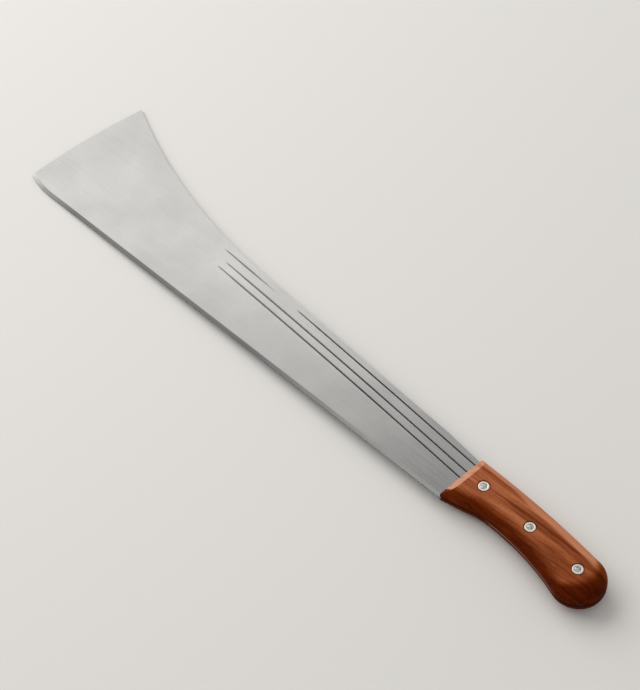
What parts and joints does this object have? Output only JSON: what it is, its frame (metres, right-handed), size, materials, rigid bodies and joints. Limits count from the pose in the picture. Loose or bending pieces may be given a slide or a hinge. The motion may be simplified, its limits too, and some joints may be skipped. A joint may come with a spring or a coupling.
{
  "type": "machete",
  "caption": "Flare-ended machete: a ground steel blade with a full tang between two hardwood scales, held by rivets peened over washers.",
  "frame": {"origin": "on the lower scale's flat outer face, on the rivets' line, midway between the front and the middle rivet", "axes": "+X along the cutting edge from the tip to the butt, +Y from the cutting edge towards the spine, +Z square to the blade's faces, from the lower scale to the upper one"},
  "size_m": [0.5965, 0.1237, 0.021],
  "materials": {
    "blade_steel": "satin, ground",
    "hardwood": "oiled, sanded smooth",
    "rivet_aluminium": "hammered",
    "washer_steel": "bright, worn smooth"
  },
  "bodies": {
    "root": {"blade": "blade_steel", "upper_scale": "hardwood", "lower_scale": "hardwood", "front_rivet": "rivet_aluminium", "middle_rivet": "rivet_aluminium", "rear_rivet": "rivet_aluminium", "front_upper_washer": "washer_steel", "middle_upper_washer": "washer_steel", "rear_upper_washer": "washer_steel", "front_lower_washer": "washer_steel", "middle_lower_washer": "washer_steel", "rear_lower_washer": "washer_steel"}
  },
  "joints": []
}
